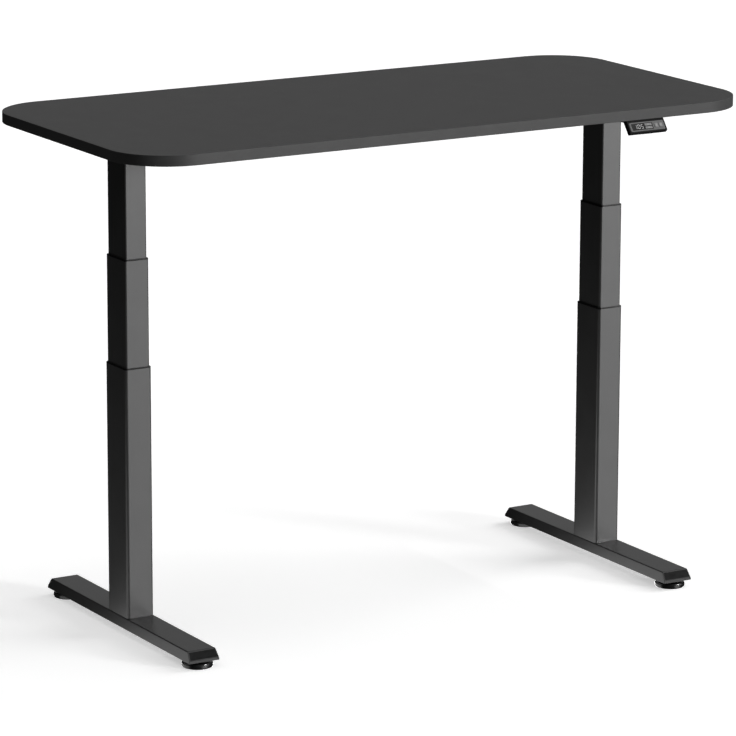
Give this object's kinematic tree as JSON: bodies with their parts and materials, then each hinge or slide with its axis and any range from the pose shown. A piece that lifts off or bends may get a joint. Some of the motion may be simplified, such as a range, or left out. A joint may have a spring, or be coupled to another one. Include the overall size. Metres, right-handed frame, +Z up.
{
  "type": "height adjustable standing desk",
  "caption": "Sit-stand desk: round-cornered laminate top on a steel frame with telescopic columns, long flat feet, levelling glides, electric drives and a keypad under the front edge.",
  "frame": {"origin": "on the floor under the middle of the desktop; the handset stands 15.8 mm proud of the desktop's front edge, so the middle of the bounding box is 7.9 mm in front of it", "axes": "+X to the right along the desktop, +Y to the back, +Z up; the desk is stored at a desktop height of 1.05 m, between its two limits"},
  "size_m": [1.448, 0.7158, 1.05],
  "materials": {
    "laminate": "matt, fine grained black laminate",
    "edge_band": "matt black plastic band",
    "core_board": "pressed board",
    "powder_coat": "black powder coat, fine texture",
    "moulded_black": "fine moulded texture",
    "glide_black": "glossy black",
    "black_fastener": "black oxide",
    "bright_steel": "turned",
    "bronze": "machined bronze",
    "motor_can": "plated",
    "cast_alloy": "die cast",
    "cable_jacket": "matt black jacket",
    "handset_grey": "satin dark grey",
    "handset_window": "glossy tinted panel",
    "handset_keys": "satin grey keys"
  },
  "bodies": {
    "base_left": {"foot_beam_left": "powder_coat", "foot_caps_left": "moulded_black", "outer_tube_left": "powder_coat", "column_screws_left": "black_fastener", "base_nut_tube_left": "bright_steel", "outer_collar_left": "moulded_black"},
    "mid_left": {"mid_tube_left": "powder_coat", "mid_collar_left": "moulded_black", "drive_carrier_left": "bright_steel"},
    "lower_spindle_left": {"lower_spindle_left": "bright_steel"},
    "upper_spindle_left": {"upper_spindle_left": "bright_steel", "worm_wheel_left": "bronze"},
    "motor_worm_left": {"motor_worm_left": "bright_steel"},
    "front_glide_left": {"glide_front_left": "glide_black"},
    "rear_glide_left": {"glide_rear_left": "glide_black"},
    "base_right": {"foot_beam_right": "powder_coat", "foot_caps_right": "moulded_black", "outer_tube_right": "powder_coat", "column_screws_right": "black_fastener", "base_nut_tube_right": "bright_steel", "outer_collar_right": "moulded_black"},
    "mid_right": {"mid_tube_right": "powder_coat", "mid_collar_right": "moulded_black", "drive_carrier_right": "bright_steel"},
    "lower_spindle_right": {"lower_spindle_right": "bright_steel"},
    "upper_spindle_right": {"upper_spindle_right": "bright_steel", "worm_wheel_right": "bronze"},
    "motor_worm_right": {"motor_worm_right": "bright_steel"},
    "front_glide_right": {"glide_front_right": "glide_black"},
    "rear_glide_right": {"glide_rear_right": "glide_black"},
    "up_key": {"up_key": "handset_keys"},
    "down_key": {"down_key": "handset_keys"},
    "memory_key_one": {"memory_key_one": "handset_keys"},
    "memory_key_two": {"memory_key_two": "handset_keys"},
    "top": {"inner_tube_left": "powder_coat", "head_box_left": "powder_coat", "side_bracket_left": "powder_coat", "motor_left": "motor_can", "gear_case_left": "cast_alloy", "inner_tube_right": "powder_coat", "head_box_right": "powder_coat", "side_bracket_right": "powder_coat", "motor_right": "motor_can", "gear_case_right": "cast_alloy", "frame_rails": "powder_coat", "control_box_lid": "powder_coat", "frame_bolts": "black_fastener", "desktop_screws": "black_fastener", "spindle_bearings": "bright_steel", "desktop_core": "core_board", "top_laminate": "laminate", "edge_band": "edge_band", "control_box_shell": "moulded_black", "mains_inlet": "moulded_black", "cable_clips": "moulded_black", "handset_housing": "moulded_black", "motor_cables": "cable_jacket", "handset_cable": "cable_jacket", "handset_face": "handset_grey", "handset_window": "handset_window"}
  },
  "joints": [
    {"name": "left_lower_lift", "type": "slide", "parent": "base_left", "child": "mid_left", "axis": [0, 0, 1], "range_m": [-0.195, 0.13]},
    {"name": "left_upper_lift", "type": "slide", "parent": "mid_left", "child": "top", "axis": [0, 0, 1], "range_m": [-0.195, 0.13]},
    {"name": "right_upper_lift", "type": "slide", "parent": "top", "child": "mid_right", "axis": [0, 0, -1], "range_m": [-0.195, 0.13]},
    {"name": "right_lower_lift", "type": "slide", "parent": "mid_right", "child": "base_right", "axis": [0, 0, -1], "range_m": [-0.195, 0.13]},
    {"name": "left_upper_spindle_turn", "type": "hinge", "parent": "top", "child": "upper_spindle_left", "pos_m": [-0.572, 0, 1], "axis": [0, 0, 1], "range_deg": [-5850.2, 3900.1]},
    {"name": "left_lower_spindle_turn", "type": "hinge", "parent": "mid_left", "child": "lower_spindle_left", "pos_m": [-0.572, 0, 0.6], "axis": [0, 0, 1], "range_deg": [-5850.2, 3900.1]},
    {"name": "left_motor_turn", "type": "hinge", "parent": "top", "child": "motor_worm_left", "pos_m": [-0.572, -0.0213, 1.006], "axis": [1, 0, 0], "range_deg": [-140400.2, 93600.2]},
    {"name": "left_front_glide_screw", "type": "slide", "parent": "base_left", "child": "front_glide_left", "axis": [0, 0, 1], "range_m": [-0.01, 0.0025]},
    {"name": "left_rear_glide_screw", "type": "slide", "parent": "base_left", "child": "rear_glide_left", "axis": [0, 0, 1], "range_m": [-0.01, 0.0025]},
    {"name": "right_upper_spindle_turn", "type": "hinge", "parent": "top", "child": "upper_spindle_right", "pos_m": [0.572, 0, 1], "axis": [0, 0, 1], "range_deg": [-5850.2, 3900.1]},
    {"name": "right_lower_spindle_turn", "type": "hinge", "parent": "mid_right", "child": "lower_spindle_right", "pos_m": [0.572, 0, 0.6], "axis": [0, 0, 1], "range_deg": [-5850.2, 3900.1]},
    {"name": "right_motor_turn", "type": "hinge", "parent": "top", "child": "motor_worm_right", "pos_m": [0.572, -0.0213, 1.006], "axis": [1, 0, 0], "range_deg": [-140400.2, 93600.2]},
    {"name": "right_front_glide_screw", "type": "slide", "parent": "base_right", "child": "front_glide_right", "axis": [0, 0, 1], "range_m": [-0.01, 0.0025]},
    {"name": "right_rear_glide_screw", "type": "slide", "parent": "base_right", "child": "rear_glide_right", "axis": [0, 0, 1], "range_m": [-0.01, 0.0025]},
    {"name": "up_key_press", "type": "slide", "parent": "top", "child": "up_key", "axis": [0, 0.7991, -0.6011], "range_m": [0, 0.0008], "stiffness_N_per_m": 600, "springref_m": -0.0005},
    {"name": "down_key_press", "type": "slide", "parent": "top", "child": "down_key", "axis": [0, 0.7991, -0.6011], "range_m": [0, 0.0008], "stiffness_N_per_m": 600, "springref_m": -0.0005},
    {"name": "memory_key_one_press", "type": "slide", "parent": "top", "child": "memory_key_one", "axis": [0, 0.7991, -0.6011], "range_m": [0, 0.0008], "stiffness_N_per_m": 600, "springref_m": -0.0005},
    {"name": "memory_key_two_press", "type": "slide", "parent": "top", "child": "memory_key_two", "axis": [0, 0.7991, -0.6011], "range_m": [0, 0.0008], "stiffness_N_per_m": 600, "springref_m": -0.0005}
  ],
  "couplings": [
    {"joint": "left_lower_lift", "follows": "left_upper_lift", "ratio": 1},
    {"joint": "right_upper_lift", "follows": "left_upper_lift", "ratio": 1},
    {"joint": "right_lower_lift", "follows": "left_upper_lift", "ratio": 1},
    {"joint": "left_upper_spindle_turn", "follows": "left_upper_lift", "rad_per_m": 523.6},
    {"joint": "left_lower_spindle_turn", "follows": "left_upper_lift", "rad_per_m": 523.6},
    {"joint": "left_motor_turn", "follows": "left_upper_lift", "rad_per_m": 12566},
    {"joint": "right_upper_spindle_turn", "follows": "left_upper_lift", "rad_per_m": 523.6},
    {"joint": "right_lower_spindle_turn", "follows": "left_upper_lift", "rad_per_m": 523.6},
    {"joint": "right_motor_turn", "follows": "left_upper_lift", "rad_per_m": 12566}
  ]
}
